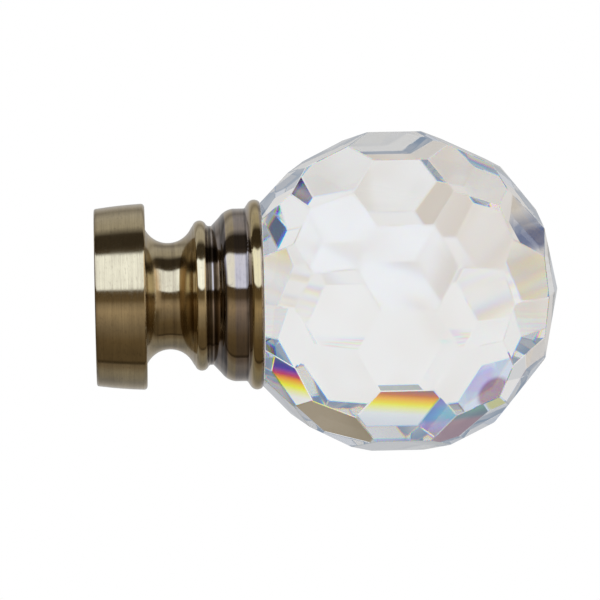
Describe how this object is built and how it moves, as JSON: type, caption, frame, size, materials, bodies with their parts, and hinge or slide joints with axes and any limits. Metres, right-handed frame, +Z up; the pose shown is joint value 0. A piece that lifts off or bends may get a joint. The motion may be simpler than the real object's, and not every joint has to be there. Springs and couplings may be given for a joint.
{
  "type": "curtain pole finial",
  "caption": "Curtain pole finial: a clear faceted crystal ball on a turned antique brass collar, with a round socket that slips over the end of the pole.",
  "frame": {"origin": "centre of the mouth of the pole socket, on the finial's axis", "axes": "+X along the finial's axis from the pole to the ball's tip, +Z up, with the grub screw on the underside"},
  "size_m": [0.0868, 0.0602, 0.0602],
  "materials": {
    "brushed_brass": "antique brass, brushed round the axis and lacquered",
    "toned_brass": "antique brass, toned darker and relieved on its rim bead",
    "crystal": "clear crystal with polished flat facets",
    "screw_steel": "zinc plated steel",
    "grub_steel": "blackened steel"
  },
  "bodies": {
    "root": {"pole_cap": "brushed_brass", "ball_cup": "toned_brass", "crystal_ball": "crystal", "neck_screw": "screw_steel", "grub_screw": "grub_steel"}
  },
  "joints": []
}
